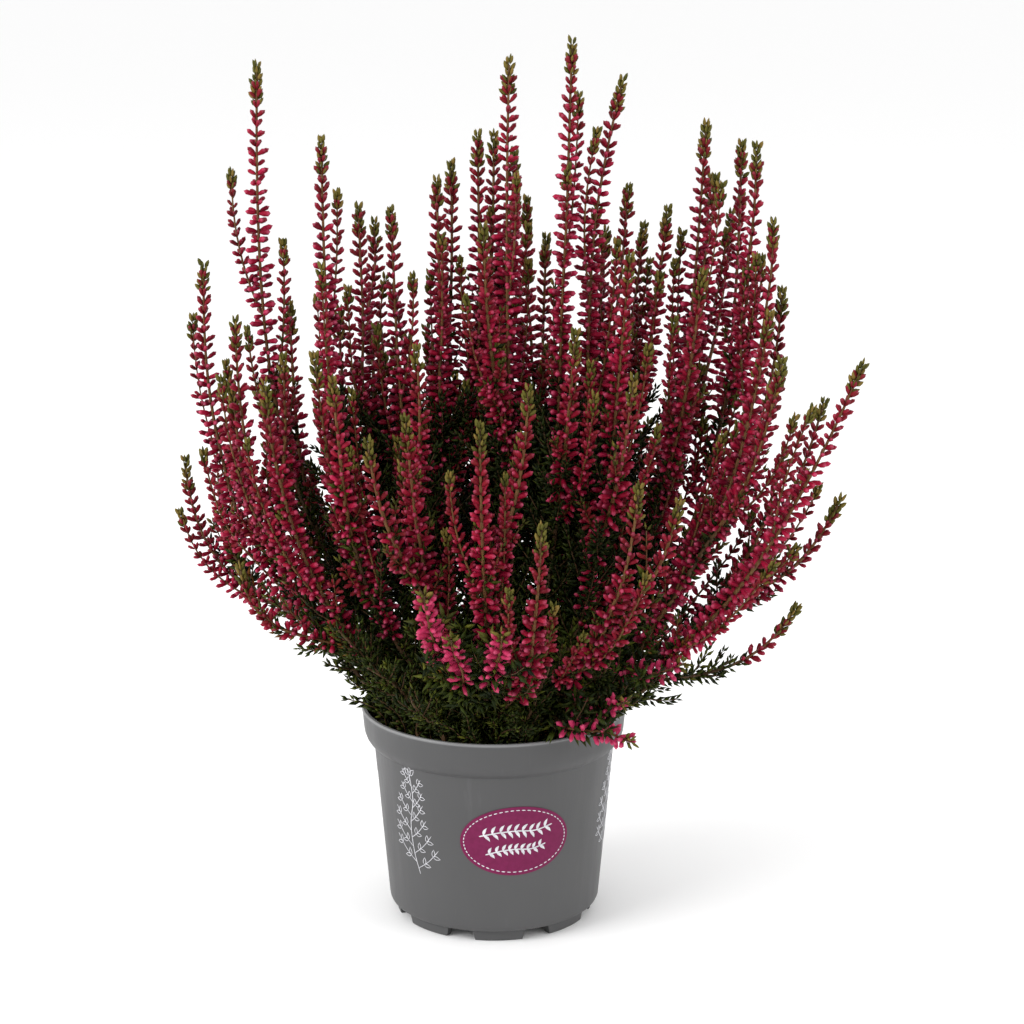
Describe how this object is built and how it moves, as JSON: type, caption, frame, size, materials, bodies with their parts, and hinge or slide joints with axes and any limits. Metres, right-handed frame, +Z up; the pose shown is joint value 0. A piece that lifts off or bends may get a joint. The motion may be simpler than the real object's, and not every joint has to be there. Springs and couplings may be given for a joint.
{
  "type": "potted heather",
  "caption": "Flowering heather bush with upright crimson bud spikes, grown from compost in a round grey plastic nursery pot.",
  "frame": {"origin": "on the floor under the middle of the plant and pot, on the pot's axis", "axes": "+Z up along the pot's axis, -Y the side that the picture shows, +X to the picture's right"},
  "size_m": [0.3001, 0.2341, 0.392],
  "materials": {
    "pot_plastic": "moulded satin grey",
    "compost": "loose dark brown compost",
    "heather_flowers": "waxy crimson bud spikes on leafy stems",
    "heather_leaves": "dark green scale leaves"
  },
  "bodies": {
    "root": {"pot": "pot_plastic", "soil": "compost", "flower_spray_01": "heather_flowers", "flower_spray_02": "heather_flowers", "flower_spray_03": "heather_flowers", "flower_spray_04": "heather_flowers", "flower_spray_05": "heather_flowers", "flower_spray_06": "heather_flowers", "flower_spray_07": "heather_flowers", "flower_spray_08": "heather_flowers", "flower_spray_09": "heather_flowers", "flower_spray_10": "heather_flowers", "flower_spray_11": "heather_flowers", "flower_spray_12": "heather_flowers", "flower_spray_13": "heather_flowers", "flower_spray_14": "heather_flowers", "flower_spray_15": "heather_flowers", "flower_spray_16": "heather_flowers", "flower_spray_17": "heather_flowers", "flower_spray_18": "heather_flowers", "flower_spray_19": "heather_flowers", "flower_spray_20": "heather_flowers", "flower_spray_21": "heather_flowers", "flower_spray_22": "heather_flowers", "flower_spray_23": "heather_flowers", "flower_spray_24": "heather_flowers", "flower_spray_25": "heather_flowers", "flower_spray_26": "heather_flowers", "flower_spray_27": "heather_flowers", "flower_spray_28": "heather_flowers", "flower_spray_29": "heather_flowers", "flower_spray_30": "heather_flowers", "flower_spray_31": "heather_flowers", "flower_spray_32": "heather_flowers", "flower_spray_33": "heather_flowers", "flower_spray_34": "heather_flowers", "flower_spray_35": "heather_flowers", "flower_spray_36": "heather_flowers", "flower_spray_37": "heather_flowers", "flower_spray_38": "heather_flowers", "flower_spray_39": "heather_flowers", "flower_spray_40": "heather_flowers", "flower_spray_41": "heather_flowers", "green_shoot_01": "heather_leaves", "green_shoot_02": "heather_leaves", "green_shoot_03": "heather_leaves", "green_shoot_04": "heather_leaves", "green_shoot_05": "heather_leaves", "green_shoot_06": "heather_leaves", "green_shoot_07": "heather_leaves", "green_shoot_08": "heather_leaves", "green_shoot_09": "heather_leaves", "green_shoot_10": "heather_leaves", "green_shoot_11": "heather_leaves", "green_shoot_12": "heather_leaves", "green_shoot_13": "heather_leaves"}
  },
  "joints": []
}
